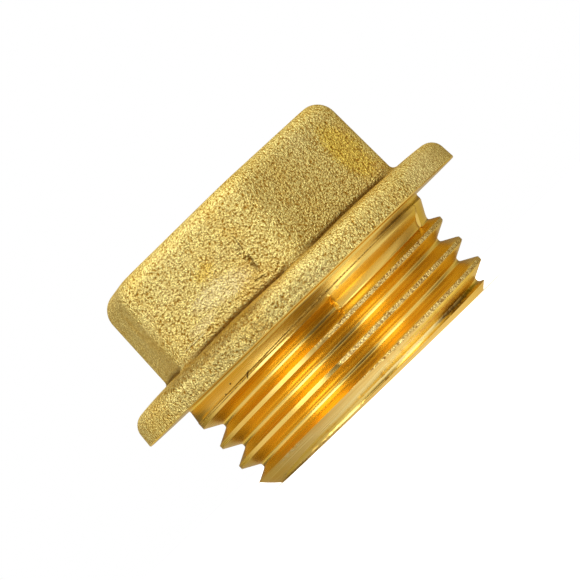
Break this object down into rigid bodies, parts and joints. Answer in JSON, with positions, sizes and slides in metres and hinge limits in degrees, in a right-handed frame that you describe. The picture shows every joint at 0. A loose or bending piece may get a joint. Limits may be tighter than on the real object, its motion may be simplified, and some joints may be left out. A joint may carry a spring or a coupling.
{
  "type": "pipe plug",
  "caption": "Hexagon-headed pipe plug with a round flange, a turned seat under it and an external parallel pipe thread, hollow from the thread end.",
  "frame": {"origin": "centre of the sealing face, which is the flange's turned underside, on the thread's axis", "axes": "+Z along the thread's axis from the thread end to the head, with two of the head's corners on X"},
  "size_m": [0.0276, 0.0276, 0.0167],
  "materials": {
    "brass": "blasted forging skin on the head and the flange's rim, turned and cut metal from the seat down to the thread end"
  },
  "bodies": {
    "root": {"plug": "brass"}
  },
  "joints": []
}
